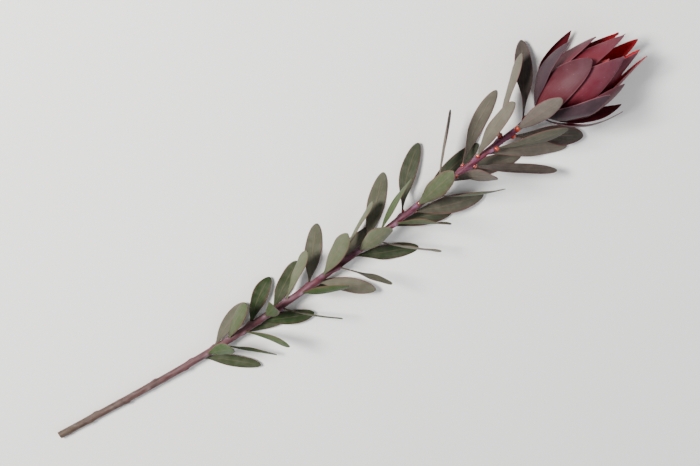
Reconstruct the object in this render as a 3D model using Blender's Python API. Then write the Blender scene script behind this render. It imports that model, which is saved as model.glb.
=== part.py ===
"""A cut leucadendron stem, laid down: a knobbly stem with leathery leaves, and at its end a cup of bracts.

Metres, +Z up. The stem runs along +X from its cut end to the head, and the whole rests on z = 0, with the
origin under the middle of its bounding box. Sizes named below are in millimetres, and angles in degrees.
Leaves and bracts stand on one spiral, a golden angle apart, from the cut end to the cone.
"""

import math
import random
from dataclasses import dataclass

import bmesh
import bpy
import numpy as np

MILLIMETRE = 0.001
SEED = 27
GOLDEN_ANGLE = 137.508
UP = np.array((0.0, 0.0, 1.0))
DOWN_AZIMUTH = -90.0

# The stem, bare at its lower end, curves gently along the table and rises to the head.
STEM_LENGTH = 585.0
STEM_SIDES = 8
CUT_RADIUS = 3.8
NECK_RADIUS = 2.8
CUT_SLANT = 0.35
STEM_RISE = 24.0
STEM_BOW = -14.0
STEM_BOW_TURNS = 0.62
NODE_SPACING = 9.0
FIRST_NODE = 12.0
NODE_COUNT = 63
FIRST_LEAFY_NODE = 18
CUSHION_HEIGHT = 1.3
SCAR_HEIGHT = 0.7
CUSHION_FOCUS = 3
FIRST_BUD_NODE = 46
BUD_ABOVE_LEAF = 2.8
BUD_PROUD = 0.45
SMALL_BUD_RADIUS = 1.5
LARGE_BUD_RADIUS = 2.9

# Leaves and bracts are blades of one thickness, each bent from its root to its tip.
BLADE_THICKNESS = 0.8
MIDLINE_STEPS = 24
END_CROWDING = 0.5
CUPPED_BETWEEN = (0.04, 0.36)
TABLE_REACH = 15.0
ROOT_DEPTH = 0.35

# The head, measured along its axis from the top of the stem.
OUTER_CORE = ((0.3, 2.9), (3.0, 5.0), (6.5, 6.2), (9.7, 6.3))
INNER_CORE = ((10.0, 6.2), (13.5, 6.0), (16.0, 5.0), (18.5, 3.4))
CORE_SIDES = 12
BRACT_ROOT_RADIUS = 3.0
OUTER_BRACT_COUNT = 13
NARROW_BRACT_COUNT = 6
INNER_BRACT_COUNT = 16
TALL_BRACT_COUNT = 6
RED_BRACT_COUNT = 5
CUP_WALL = (9.5, 6.6, 23.4, 17.0, 13.0)
SKIRT_WALL = (-1.0, 4.5, 43.0, 22.0, 0.0)
CONE_WALL = (18.0, 4.8, 4.4, 5.0, 0.0)
CLOSING_BETWEEN = (34.0, 112.0)
WALL_MARGIN = 1.2
FREE_LEAF_LIMIT = 500.0
LEAF_TURN_ASIDE = 58.0
BRACT_TURN_ASIDE = 50.0
PRESSED_FLOOR = -2.0
FIRST_RESTING_NODE = 30
RESTING_LEAF_ANGLES = (30.0, 56.0)
CONE_BOTTOM = 18.8
CONE_HEIGHT = 27.0
CONE_RADIUS = 7.4
CONE_SIDES = 30
CONE_RINGS = 18
SCALE_COUNT = 46
SCALE_RELIEF = 0.9


@dataclass
class Blade:
    """One leaf or bract: its outline, and how it leaves its axis and bends."""

    length: float
    width: float
    root_width: float
    widest_at: float
    tip_roundness: float
    lean: float
    tip_lean: float
    bend: float
    twist: float
    cup_radius: float
    floor: float
    rows: int
    columns: int


def unit(vector):
    return vector / np.linalg.norm(vector)


def smooth(low, high, value):
    share = np.clip((value - low) / (high - low), 0.0, 1.0)
    return share * share * (3 - 2 * share)


def stem_centre(along):
    share = max(along, 0.0) / STEM_LENGTH
    sideways = STEM_BOW * math.sin(2 * math.pi * STEM_BOW_TURNS * share)
    lowest = CUT_RADIUS * math.cos(math.pi / STEM_SIDES)
    return np.array((along, sideways, lowest + STEM_RISE * share**1.5))


def frame_at(along):
    """The middle of the stem there, and three directions: along it, level across it, and up from it."""
    axis = unit(stem_centre(along + 1.0) - stem_centre(max(along - 1.0, 0.0)))
    level = unit(np.cross(axis, UP))
    return stem_centre(along), axis, level, np.cross(level, axis)


def head_frame():
    return frame_at(STEM_LENGTH)


def outward(azimuth, level, rise):
    return level * math.cos(math.radians(azimuth)) + rise * math.sin(math.radians(azimuth))


def stem_radius(along):
    return CUT_RADIUS + (NECK_RADIUS - CUT_RADIUS) * along / STEM_LENGTH


def from_down(azimuth):
    return (azimuth - DOWN_AZIMUTH + 180.0) % 360.0 - 180.0


def clear_of_table(azimuth, margin):
    """The azimuth, turned sideways if it points more nearly straight down than margin allows."""
    if abs(from_down(azimuth)) >= margin:
        return azimuth
    return DOWN_AZIMUTH + math.copysign(margin, from_down(azimuth))


def leaf_floor(node):
    """How low a leaf may reach. A few on each side are pressed flat on the table and steady the stem."""
    nearest, furthest = RESTING_LEAF_ANGLES
    if node >= FIRST_RESTING_NODE and nearest <= abs(from_down(node * GOLDEN_ANGLE)) <= furthest:
        return PRESSED_FLOOR
    return BLADE_THICKNESS / 2 + 0.6 + 0.7 * (node % 7)


def midline(root, axis, out, blade):
    """Points and directions along the middle of a blade. Near the table the blade levels out along it."""
    point = root
    points = []
    ways = []
    for share in np.linspace(0.0, 1.0, MIDLINE_STEPS + 1):
        lean = math.radians(blade.tip_lean + (blade.lean - blade.tip_lean) * (1 - share) ** blade.bend)
        way = axis * math.cos(lean) + out * math.sin(lean)
        steepest = -min(max(point[2] - blade.floor, 0.0) / TABLE_REACH, 1.0)
        if way[2] < steepest:
            level = unit(way[:2]) * math.sqrt(1 - steepest**2)
            way = np.array((level[0], level[1], steepest))
        points.append(point)
        ways.append(way)
        point = point + way * blade.length / MIDLINE_STEPS
    return np.array(points), np.array(ways)


def head_place(points):
    """How far along the head's axis each point is, how far from it, and in which direction."""
    start, axis, _, _ = head_frame()
    along = (points - start) @ axis
    away = points - start - along[..., None] * axis
    distance = np.linalg.norm(away, axis=-1)
    return along, distance, away / np.maximum(distance, 1e-6)[..., None]


def wall_radius(wall, along):
    """The radius of the bell between two layers, which widens from its neck and may close again to its top."""
    start, neck, spread, height, closing = wall
    open_bell = neck + spread * (1 - np.exp(-np.maximum(along - start, 0.0) / height))
    return open_bell - closing * smooth(*CLOSING_BETWEEN, along)


def keep_outside(points, wall):
    along, distance, away = head_place(points)
    short = np.maximum(wall_radius(wall, along) + WALL_MARGIN - distance, 0.0)
    return points + away * (short * (along > wall[0]))[..., None]


def keep_inside(points, wall):
    along, distance, away = head_place(points)
    over = np.maximum(distance - wall_radius(wall, along) + WALL_MARGIN, 0.0)
    return points - away * (over * (along > wall[0]))[..., None]


def half_width(blade, share):
    if share < blade.widest_at:
        swell = math.sin(math.pi / 2 * share / blade.widest_at) ** 1.2
    else:
        beyond = (share - blade.widest_at) / (1 - blade.widest_at)
        swell = (1 - beyond**2) ** blade.tip_roundness
    tip_left = 0.05 * blade.width
    root_left = blade.root_width / 2 * (1 - share)
    return max(blade.width / 2 * swell, root_left, tip_left)


def stations_along(rows):
    """Where the rows of a blade lie, from 0 at its root to 1 at its tip, closer together at both ends."""
    even = np.linspace(0.0, 1.0, rows + 1)
    crowded = (1 - np.cos(math.pi * even)) / 2
    return even + (crowded - even) * END_CROWDING


def blade_surface(root, axis, out, blade, wrap=None):
    """The middle surface of a blade, as a grid of points with rows along it and columns across it.

    wrap gives, for a point on the midline, the radius of the round form that the blade hugs there."""
    points, ways = midline(root, axis, out, blade)
    steps = np.arange(MIDLINE_STEPS + 1)
    side = np.cross(axis, out)
    grid = np.empty((blade.rows + 1, blade.columns + 1, 3))
    for row, share in enumerate(stations_along(blade.rows)):
        middle = np.array([np.interp(share * MIDLINE_STEPS, steps, points[:, i]) for i in range(3)])
        way = unit(np.array([np.interp(share * MIDLINE_STEPS, steps, ways[:, i]) for i in range(3)]))
        press = 1 - smooth(0.0, TABLE_REACH, middle[2] - blade.floor)
        level = unit(np.cross(UP, way))
        level = level * math.copysign(1.0, level @ side)
        across = unit(side * (1 - press) + level * press)
        across = unit(across - way * (across @ way))
        inward = np.cross(way, across)
        twist = math.radians(blade.twist) * share * (1 - press)
        across, inward = (
            across * math.cos(twist) + inward * math.sin(twist),
            inward * math.cos(twist) - across * math.sin(twist),
        )
        reach = half_width(blade, share)
        radius = max(wrap(middle) if wrap else blade.cup_radius, 1.1 * reach)
        bow = smooth(*CUPPED_BETWEEN, share) / radius
        for column, offset in enumerate(np.linspace(-reach, reach, blade.columns + 1)):
            turn = offset * bow
            flat = 1.0 if abs(turn) < 1e-6 else math.sin(turn) / turn
            lift = 0.0 if abs(turn) < 1e-6 else (1 - math.cos(turn)) / bow
            grid[row, column] = middle + across * offset * flat + inward * lift
    return grid


def lift_to(floor, grid):
    return np.concatenate((grid[..., :2], np.maximum(grid[..., 2:], floor)), axis=-1)


def blade_object(name, grid):
    """A closed blade round its middle surface, split alike on both faces, and lifted where it lies on the table."""
    normal = np.cross(np.gradient(grid, axis=0), np.gradient(grid, axis=1))
    normal /= np.linalg.norm(normal, axis=2, keepdims=True)
    sides = np.stack((grid - normal * BLADE_THICKNESS / 2, grid + normal * BLADE_THICKNESS / 2))
    sides[..., 2] += np.maximum(-sides[..., 2].min(axis=0), 0.0)
    rows, columns = grid.shape[:2]

    def index(side, row, column):
        return (side * rows + row) * columns + column

    faces = []
    for row in range(rows - 1):
        for column in range(columns - 1):
            for side in (0, 1):
                a = index(side, row, column)
                b = index(side, row + 1, column)
                c = index(side, row + 1, column + 1)
                d = index(side, row, column + 1)
                faces += [(a, b, c), (a, c, d)]
    rim = [(row, 0) for row in range(rows)]
    rim += [(rows - 1, column) for column in range(1, columns)]
    rim += [(row, columns - 1) for row in range(rows - 2, -1, -1)]
    rim += [(0, column) for column in range(columns - 2, 0, -1)]
    for here, there in zip(rim, rim[1:] + rim[:1]):
        a, b = index(0, *here), index(0, *there)
        c, d = index(1, *there), index(1, *here)
        faces += [(a, b, c), (a, c, d)]
    return mesh_object(name, sides.reshape(-1, 3), faces)


def mesh_object(name, points, faces):
    mesh = bpy.data.meshes.new(name)
    mesh.from_pydata([tuple(point) for point in np.asarray(points) * MILLIMETRE], [], faces)
    work = bmesh.new()
    work.from_mesh(mesh)
    bmesh.ops.recalc_face_normals(work, faces=work.faces)
    work.to_mesh(mesh)
    work.free()
    made = bpy.data.objects.new(name, mesh)
    bpy.context.scene.collection.objects.link(made)
    return made


def lofted(name, rings):
    """A closed solid through rings of points, with a flat cap on each end."""
    sides = len(rings[0])
    faces = []
    for ring in range(len(rings) - 1):
        for side in range(sides):
            a = ring * sides + side
            b = ring * sides + (side + 1) % sides
            faces += [(a, b, b + sides), (a, b + sides, a + sides)]
    last = (len(rings) - 1) * sides
    for side in range(1, sides - 1):
        faces += [(0, side, side + 1), (last, last + side, last + side + 1)]
    return mesh_object(name, np.concatenate(rings), faces)


def fuse(body, blades):
    """Joins the blades to the body they grow from, by one Boolean union, and keeps the one solid that it makes."""
    group = bpy.data.collections.new(body.name + "_blades")
    bpy.context.scene.collection.children.link(group)
    for blade in blades:
        bpy.context.scene.collection.objects.unlink(blade)
        group.objects.link(blade)
    union = body.modifiers.new("union", "BOOLEAN")
    union.operation = "UNION"
    union.operand_type = "COLLECTION"
    union.collection = group
    union.solver = "EXACT"
    graph = bpy.context.evaluated_depsgraph_get()
    fused = bpy.data.meshes.new_from_object(body.evaluated_get(graph))
    body.modifiers.remove(union)
    body.data = fused
    for blade in blades:
        bpy.data.objects.remove(blade)
    bpy.data.collections.remove(group)
    keep_largest_piece(fused)


def keep_largest_piece(mesh):
    """Drops sealed hollows and loose scraps, and leaves plain triangles."""
    work = bmesh.new()
    work.from_mesh(mesh)
    bmesh.ops.remove_doubles(work, verts=work.verts, dist=1e-6)
    bmesh.ops.dissolve_degenerate(work, edges=work.edges, dist=1e-6)
    unseen = set(work.verts)
    pieces = []
    while unseen:
        front = [unseen.pop()]
        piece = []
        while front:
            vertex = front.pop()
            piece.append(vertex)
            for edge in vertex.link_edges:
                other = edge.other_vert(vertex)
                if other in unseen:
                    unseen.remove(other)
                    front.append(other)
        pieces.append(piece)
    largest = max(pieces, key=len)
    for piece in pieces:
        if piece is not largest:
            bmesh.ops.delete(work, geom=piece, context="VERTS")
    bmesh.ops.triangulate(work, faces=work.faces)
    work.to_mesh(mesh)
    work.free()


def make_stem():
    """The stem with a raised cushion at each leaf and a lower scar where a leaf is gone."""
    stations = [(0.0, 0, 0.0)]
    for node in range(NODE_COUNT):
        along = FIRST_NODE + node * NODE_SPACING
        if node < FIRST_LEAFY_NODE:
            stations.append((along, node, SCAR_HEIGHT))
        else:
            stations.append((along - NODE_SPACING / 2, node, 0.0))
            stations.append((along, node, CUSHION_HEIGHT))
    stations.append((STEM_LENGTH, 0, 0.0))
    rings = []
    for along, node, raised in stations:
        centre, axis, level, rise = frame_at(along)
        ring = []
        for azimuth in (np.arange(STEM_SIDES) + 0.5) * 360.0 / STEM_SIDES:
            facing = max(math.cos(math.radians(azimuth - node * GOLDEN_ANGLE)), 0.0)
            radius = stem_radius(along) + raised * facing**CUSHION_FOCUS
            point = centre + outward(azimuth, level, rise) * radius
            if along == 0.0:
                point = point + axis * CUT_SLANT * (point - centre)[2]
            ring.append((point[0], point[1], max(point[2], 0.0)))
        rings.append(np.array(ring))
    return lofted("leafy_stem", rings)


def make_buds():
    """The small resting buds in the axils of the upper leaves, larger towards the head."""
    buds = []
    for node in range(FIRST_BUD_NODE, NODE_COUNT):
        share = (node - FIRST_BUD_NODE) / (NODE_COUNT - 1 - FIRST_BUD_NODE)
        radius = SMALL_BUD_RADIUS + (LARGE_BUD_RADIUS - SMALL_BUD_RADIUS) * share**3
        along = FIRST_NODE + node * NODE_SPACING + BUD_ABOVE_LEAF
        centre, axis, level, rise = frame_at(along)
        out = outward(node * GOLDEN_ANGLE, level, rise)
        middle = centre + out * (stem_radius(along) + BUD_PROUD * radius)
        mesh = bpy.data.meshes.new(f"bud_{node}")
        ball = bmesh.new()
        bmesh.ops.create_icosphere(ball, subdivisions=1, radius=radius * MILLIMETRE)
        ball.to_mesh(mesh)
        ball.free()
        bud = bpy.data.objects.new(mesh.name, mesh)
        bud.location = middle * MILLIMETRE
        bpy.context.scene.collection.objects.link(bud)
        buds.append(bud)
    return buds


def make_leaves(draw):
    """One leaf at each node past the bare end, longer and more upright towards the head."""
    leaves = []
    for node in range(FIRST_LEAFY_NODE, NODE_COUNT):
        along = FIRST_NODE + node * NODE_SPACING
        share = (node - FIRST_LEAFY_NODE) / (NODE_COUNT - 1 - FIRST_LEAFY_NODE)
        azimuth = node * GOLDEN_ANGLE + draw.uniform(-9.0, 9.0)
        if along > FREE_LEAF_LIMIT:
            azimuth = clear_of_table(azimuth, LEAF_TURN_ASIDE)
        lean = draw.uniform(38.0, 54.0)
        blade = Blade(
            length=draw.uniform(0.9, 1.08) * (56.0 + 24.0 * smooth(0.0, 1.0, share)),
            width=draw.uniform(0.9, 1.15) * (14.5 + 3.0 * share),
            root_width=3.6,
            widest_at=draw.uniform(0.55, 0.66),
            tip_roundness=0.55,
            lean=lean,
            tip_lean=lean + draw.uniform(-26.0, 14.0),
            bend=1.3,
            twist=draw.uniform(-38.0, 38.0),
            cup_radius=draw.uniform(14.0, 34.0),
            floor=leaf_floor(node),
            rows=6,
            columns=2,
        )
        centre, axis, level, rise = frame_at(along)
        out = outward(azimuth, level, rise)
        root = centre + out * stem_radius(along) * ROOT_DEPTH
        grid = blade_surface(root, axis, out, blade)
        grid = lift_to(blade.floor, keep_outside(grid, SKIRT_WALL))
        leaves.append(blade_object(f"leaf_{node}", grid))
    return leaves


def core(name, profile):
    """A turned piece of the receptacle, the widened end of the stem that the bracts stand on."""
    start, axis, level, rise = head_frame()
    azimuths = np.arange(CORE_SIDES) * 360.0 / CORE_SIDES
    rings = [
        np.array([start + axis * along + outward(azimuth, level, rise) * radius for azimuth in azimuths])
        for along, radius in profile
    ]
    return lofted(name, rings)


def bract_azimuth(number):
    return (NODE_COUNT + number) * GOLDEN_ANGLE


def make_bract(name, number, foot, blade, keep):
    """One bract of the head, which hugs the round of the cup. keep holds it clear of the next layer."""
    start, axis, level, rise = head_frame()
    azimuth = bract_azimuth(number)
    if number < NARROW_BRACT_COUNT:
        azimuth = clear_of_table(azimuth, BRACT_TURN_ASIDE)
    out = outward(azimuth, level, rise)
    root = start + axis * foot + out * BRACT_ROOT_RADIUS

    def round_of_cup(point):
        return head_place(point)[1] / blade.cup_radius

    grid = blade_surface(root, axis, out, blade, round_of_cup)
    return blade_object(name, lift_to(blade.floor, keep(grid)))


def narrow_bract(share, draw):
    return Blade(
        length=84.0 - 6.0 * share + draw.uniform(-5.0, 5.0),
        width=18.0 + 3.0 * share,
        root_width=6.0,
        widest_at=0.5,
        tip_roundness=0.7,
        lean=66.0,
        tip_lean=draw.uniform(6.0, 22.0),
        bend=1.6,
        twist=draw.uniform(-22.0, 22.0),
        cup_radius=1.5,
        floor=BLADE_THICKNESS / 2 + draw.uniform(0.5, 4.0),
        rows=6,
        columns=2,
    )


def broad_bract(share, draw):
    return Blade(
        length=80.0 + 24.0 * share + draw.uniform(-3.0, 3.0),
        width=32.0 + 8.0 * share,
        root_width=10.0,
        widest_at=0.43 - 0.11 * share,
        tip_roundness=0.66 + 0.28 * share,
        lean=72.0 - 4.0 * share,
        tip_lean=draw.uniform(-20.0, -8.0),
        bend=1.7 + 0.6 * share,
        twist=draw.uniform(-9.0, 9.0),
        cup_radius=1.1,
        floor=BLADE_THICKNESS / 2 + draw.uniform(0.6, 2.0),
        rows=8,
        columns=4,
    )


def tall_bract(share, draw):
    return Blade(
        length=108.0 + draw.uniform(-5.0, 3.0),
        width=38.0 - 3.0 * share,
        root_width=9.0,
        widest_at=0.42,
        tip_roundness=0.75,
        lean=58.0 - 3.0 * share,
        tip_lean=draw.uniform(-26.0, -13.0),
        bend=1.6,
        twist=draw.uniform(-7.0, 7.0),
        cup_radius=1.1,
        floor=BLADE_THICKNESS / 2 + 1.5,
        rows=8,
        columns=4,
    )


def red_bract(share, draw):
    return Blade(
        length=76.0 - 8.0 * share + draw.uniform(-3.0, 3.0),
        width=25.0 - 3.0 * share,
        root_width=8.0,
        widest_at=0.42,
        tip_roundness=0.85,
        lean=48.0,
        tip_lean=draw.uniform(-9.0, -2.0),
        bend=1.8,
        twist=draw.uniform(-6.0, 6.0),
        cup_radius=1.1,
        floor=BLADE_THICKNESS / 2,
        rows=6,
        columns=4,
    )


def small_bract(share, draw):
    return Blade(
        length=50.0 - 7.0 * share,
        width=15.0 - 2.0 * share,
        root_width=6.0,
        widest_at=0.45,
        tip_roundness=0.8,
        lean=44.0,
        tip_lean=draw.uniform(-10.0, -5.0),
        bend=1.6,
        twist=draw.uniform(-5.0, 5.0),
        cup_radius=1.1,
        floor=BLADE_THICKNESS / 2,
        rows=5,
        columns=2,
    )


def make_outer_bracts(draw):
    """The narrow and the broad bracts. The lowest broad one lies flat on the table with its belly."""
    broad = range(NARROW_BRACT_COUNT, OUTER_BRACT_COUNT)
    lowest = min(broad, key=lambda number: abs(from_down(bract_azimuth(number))))
    bracts = []
    for number in range(OUTER_BRACT_COUNT):
        if number < NARROW_BRACT_COUNT:
            blade = narrow_bract(number / (NARROW_BRACT_COUNT - 1), draw)
            foot = 1.2 + 0.5 * number
        else:
            share = (number - NARROW_BRACT_COUNT) / (OUTER_BRACT_COUNT - NARROW_BRACT_COUNT - 1)
            blade = broad_bract(share, draw)
            foot = 4.0 + 3.4 * share
        if number == lowest:
            blade.floor = PRESSED_FLOOR
        bracts.append(make_bract(f"outer_bract_{number}", number, foot, blade, hold_outer))
    return bracts


def hold_outer(grid):
    return keep_inside(keep_outside(grid, CUP_WALL), SKIRT_WALL)


def make_inner_bracts(draw):
    """The tall bracts, the red ones within them, and the small ones close round the cone."""
    bracts = []
    for number in range(INNER_BRACT_COUNT):
        if number < TALL_BRACT_COUNT:
            share = number / (TALL_BRACT_COUNT - 1)
            blade = tall_bract(share, draw)
        elif number < TALL_BRACT_COUNT + RED_BRACT_COUNT:
            share = (number - TALL_BRACT_COUNT) / (RED_BRACT_COUNT - 1)
            blade = red_bract(share, draw)
        else:
            first_small = TALL_BRACT_COUNT + RED_BRACT_COUNT
            share = (number - first_small) / (INNER_BRACT_COUNT - first_small - 1)
            blade = small_bract(share, draw)
        foot = 12.0 + 3.4 * number / (INNER_BRACT_COUNT - 1)
        name = f"inner_bract_{number}"
        bracts.append(make_bract(name, OUTER_BRACT_COUNT + number, foot, blade, hold_inner))
    return bracts


def hold_inner(grid):
    return keep_outside(keep_inside(grid, CUP_WALL), CONE_WALL)


def make_cone():
    """The young cone, an egg covered in overlapping scales that stand on the same spiral."""
    start, axis, level, rise = head_frame()
    scale_shares = (np.arange(SCALE_COUNT) + 0.5) / SCALE_COUNT
    scale_azimuths = np.radians(np.arange(SCALE_COUNT) * GOLDEN_ANGLE)
    rings = []
    for share in np.linspace(0.0, 1.0, CONE_RINGS + 1):
        bottom_width = 0.45
        egg = math.sqrt(max(1 - (max(share - 0.4, 0.0) / 0.62) ** 2, 0.0))
        egg *= bottom_width + (1 - bottom_width) * smooth(0.0, 0.4, share)
        ring = []
        for azimuth in np.arange(CONE_SIDES) * 360.0 / CONE_SIDES:
            turned = np.angle(np.exp(1j * (scale_azimuths - math.radians(azimuth))))
            apart = np.hypot(turned * CONE_RADIUS * egg / 3.4, (scale_shares - share) * CONE_HEIGHT / 3.4)
            relief = SCALE_RELIEF * max(1 - apart.min() ** 2, 0.0) * min(egg * 2, 1.0)
            radius = CONE_RADIUS * egg + relief
            along = CONE_BOTTOM + CONE_HEIGHT * share
            ring.append(start + axis * along + outward(azimuth, level, rise) * radius)
        rings.append(np.array(ring))
    return lofted("cone", rings)


def finish(piece, colour, roughness):
    """Gives a piece its colour and smooth shading with crisp edges."""
    material = bpy.data.materials.new(piece.name)
    material.use_nodes = True
    surface = material.node_tree.nodes["Principled BSDF"]
    surface.inputs["Base Color"].default_value = (*colour, 1.0)
    surface.inputs["Roughness"].default_value = roughness
    surface.inputs["Metallic"].default_value = 0.0
    piece.data.materials.clear()
    piece.data.materials.append(material)
    piece.data.shade_smooth()
    piece.data.set_sharp_from_angle(angle=math.radians(40.0))


def centre_over_origin(pieces):
    """Shifts all the pieces so that the origin is under the middle of their common box."""
    corners = []
    for piece in pieces:
        points = np.array([vertex.co for vertex in piece.data.vertices])
        corners += [points.min(axis=0), points.max(axis=0)]
    low, high = np.min(corners, axis=0), np.max(corners, axis=0)
    shift = -(low + high) / 2
    for piece in pieces:
        for vertex in piece.data.vertices:
            vertex.co.x += shift[0]
            vertex.co.y += shift[1]


for old in list(bpy.data.objects):
    bpy.data.objects.remove(old)

seeded = random.Random(SEED)
leafy_stem = make_stem()
fuse(leafy_stem, make_leaves(seeded) + make_buds())
outer_bracts = core("outer_bracts", OUTER_CORE)
fuse(outer_bracts, make_outer_bracts(seeded))
inner_bracts = core("inner_bracts", INNER_CORE)
fuse(inner_bracts, make_inner_bracts(seeded))
cone = make_cone()

finish(leafy_stem, (0.20, 0.21, 0.15), 0.6)
finish(outer_bracts, (0.16, 0.05, 0.07), 0.65)
finish(inner_bracts, (0.36, 0.02, 0.04), 0.55)
finish(cone, (0.30, 0.26, 0.08), 0.5)
centre_over_origin([leafy_stem, outer_bracts, inner_bracts, cone])
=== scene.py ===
"""The looks of a cut leucadendron stem that lies on a table.

The sections follow the plant from its cut end to its cone: bark, cut wood, buds, leaves, then the bracts of
the head from the outside in, and the cone. Sizes are in millimetres and angles in degrees along the stem's
own path, and the last step of each mesh puts it in the frame's metres.
"""

import math
import random
from dataclasses import dataclass

import bmesh
import bpy
import numpy as np
from mathutils import Matrix, Vector


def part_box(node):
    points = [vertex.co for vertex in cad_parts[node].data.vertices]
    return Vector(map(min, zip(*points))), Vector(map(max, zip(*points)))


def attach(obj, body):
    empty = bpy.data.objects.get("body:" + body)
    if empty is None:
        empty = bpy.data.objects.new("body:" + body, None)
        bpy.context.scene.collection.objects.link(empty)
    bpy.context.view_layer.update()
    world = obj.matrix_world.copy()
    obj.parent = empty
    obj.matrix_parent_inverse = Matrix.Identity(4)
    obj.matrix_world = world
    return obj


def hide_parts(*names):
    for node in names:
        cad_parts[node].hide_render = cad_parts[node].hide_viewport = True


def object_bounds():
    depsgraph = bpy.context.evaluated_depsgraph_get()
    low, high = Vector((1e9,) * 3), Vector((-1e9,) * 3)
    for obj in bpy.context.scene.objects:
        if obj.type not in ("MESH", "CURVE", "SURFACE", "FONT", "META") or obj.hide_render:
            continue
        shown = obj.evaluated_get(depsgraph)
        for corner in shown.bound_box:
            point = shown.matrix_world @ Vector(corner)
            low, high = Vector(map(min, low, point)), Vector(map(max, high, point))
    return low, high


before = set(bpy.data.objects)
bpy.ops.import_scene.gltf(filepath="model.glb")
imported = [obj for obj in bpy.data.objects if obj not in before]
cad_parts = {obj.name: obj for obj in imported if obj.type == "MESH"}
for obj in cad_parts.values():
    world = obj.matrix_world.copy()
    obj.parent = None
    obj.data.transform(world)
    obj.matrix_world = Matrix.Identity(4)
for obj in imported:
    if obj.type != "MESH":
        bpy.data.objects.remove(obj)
cad_low, cad_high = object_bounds()

# The bark. The real stem is a woody shoot of one year, crimson to lilac with a thin grey bloom. It grew with
# a raised cushion under each leaf, a low scar where a leaf is gone, and a ridge down from each of them.
MILLIMETRE = 0.001
GOLDEN_ANGLE = 137.508
UP = np.array((0.0, 0.0, 1.0))
STEM_LENGTH = 585.0
CUT_RADIUS = 3.8
NECK_RADIUS = 2.8
CUT_SLANT = 0.35
STEM_RISE = 24.0
STEM_BOW = -14.0
STEM_BOW_TURNS = 0.62
CUT_CENTRE_HEIGHT = CUT_RADIUS * math.cos(math.pi / 8)
NODE_SPACING = 9.0
FIRST_NODE = 12.0
NODE_COUNT = 63
FIRST_LEAFY_NODE = 18
CUSHION_HEIGHT = 1.3
CUSHION_WIDTH = 2.1
CUSHION_SWELLS = (-7.0, -0.6)
CUSHION_FALLS = (0.4, 2.6)
SCAR_HEIGHT = 0.7
RIDGE_HEIGHT = 0.35
RIDGE_WIDTH = 0.8
RIDGE_SWELLS = (-22.0, -4.0)
RIDGE_FALLS = (-0.5, 1.5)
BARK_SIDES = 36
BARK_CUTS = (19, 19)
CONE_BOTTOM = 18.8
CONE_HEIGHT = 27.0


def unit(vector):
    return vector / np.linalg.norm(vector)


def smooth(low, high, value):
    share = np.clip((value - low) / (high - low), 0.0, 1.0)
    return share * share * (3 - 2 * share)


def stem_centre(along):
    share = max(along, 0.0) / STEM_LENGTH
    sideways = STEM_BOW * math.sin(2 * math.pi * STEM_BOW_TURNS * share)
    return np.array((along, sideways, CUT_CENTRE_HEIGHT + STEM_RISE * share**1.5))


def frame_at(along):
    """The middle of the stem there, and three directions: along it, level across it, and up from it."""
    axis = unit(stem_centre(along + 1.0) - stem_centre(max(along - 1.0, 0.0)))
    level = unit(np.cross(axis, UP))
    return stem_centre(along), axis, level, np.cross(level, axis)


def outward(azimuth, level, rise):
    return level * math.cos(math.radians(azimuth)) + rise * math.sin(math.radians(azimuth))


def stem_radius(along):
    return CUT_RADIUS + (NECK_RADIUS - CUT_RADIUS) * along / STEM_LENGTH


def raised_bark(along, azimuth):
    """How far the bark stands out, from the cushions and the ridges below them."""
    raised = np.zeros_like(along)
    for node in range(NODE_COUNT):
        beyond = along - (FIRST_NODE + node * NODE_SPACING)
        turned = (azimuth - node * GOLDEN_ANGLE + 180.0) % 360.0 - 180.0
        apart = np.radians(turned) * stem_radius(along)
        tall = CUSHION_HEIGHT if node >= FIRST_LEAFY_NODE else SCAR_HEIGHT
        cushion = tall * np.exp(-((apart / CUSHION_WIDTH) ** 2))
        cushion *= smooth(*CUSHION_SWELLS, beyond) * (1 - smooth(*CUSHION_FALLS, beyond))
        ridge = RIDGE_HEIGHT * np.exp(-((apart / RIDGE_WIDTH) ** 2))
        ridge *= smooth(*RIDGE_SWELLS, beyond) * (1 - smooth(*RIDGE_FALLS, beyond))
        raised = np.maximum(raised, cushion + ridge)
    return raised


def find_shift():
    """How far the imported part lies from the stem's own path, whose cut end starts at nought."""
    start, axis, _, _ = frame_at(STEM_LENGTH)
    stem_low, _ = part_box("leafy_stem")
    cone_low, cone_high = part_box("cone")
    cone_middle = start + axis * (CONE_BOTTOM + CONE_HEIGHT / 2)
    along = stem_low.x / MILLIMETRE + CUT_SLANT * CUT_CENTRE_HEIGHT
    across = (cone_low.y + cone_high.y) / 2 / MILLIMETRE - cone_middle[1]
    return np.array((along, across, 0.0))


SHIFT = find_shift()


def points_of(piece):
    flat = np.empty(len(piece.data.vertices) * 3)
    piece.data.vertices.foreach_get("co", flat)
    return flat.reshape(-1, 3)


def set_in_frame(piece, points):
    """Puts the points, in millimetres along the stem, into the mesh in metres, inside the part's own box."""
    metres = np.clip((points + SHIFT) * MILLIMETRE, cad_low, cad_high)
    piece.data.vertices.foreach_set("co", metres.ravel())
    piece.data.update()


def set_measure(piece, name, values):
    """Gives each point of a piece a number that its material reads."""
    measure = piece.data.attributes.new(name, "FLOAT", "POINT")
    measure.data.foreach_set("value", np.broadcast_to(values, len(piece.data.vertices)).astype(np.float32))


def new_piece(name):
    """Names what was just added, puts its place in its mesh, and gives it."""
    piece = bpy.context.object
    piece.name = name
    piece.data.name = name
    bpy.ops.object.transform_apply(location=True, rotation=True, scale=True)
    return piece


def pigment(red, green, blue):
    """A colour as the eye reads it on a screen, 0 to 255, as the light that the shader needs."""
    shares = (np.array((red, green, blue)) / 255.0 + 0.055) / 1.055
    return (*(shares**2.4), 1.0)


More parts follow.
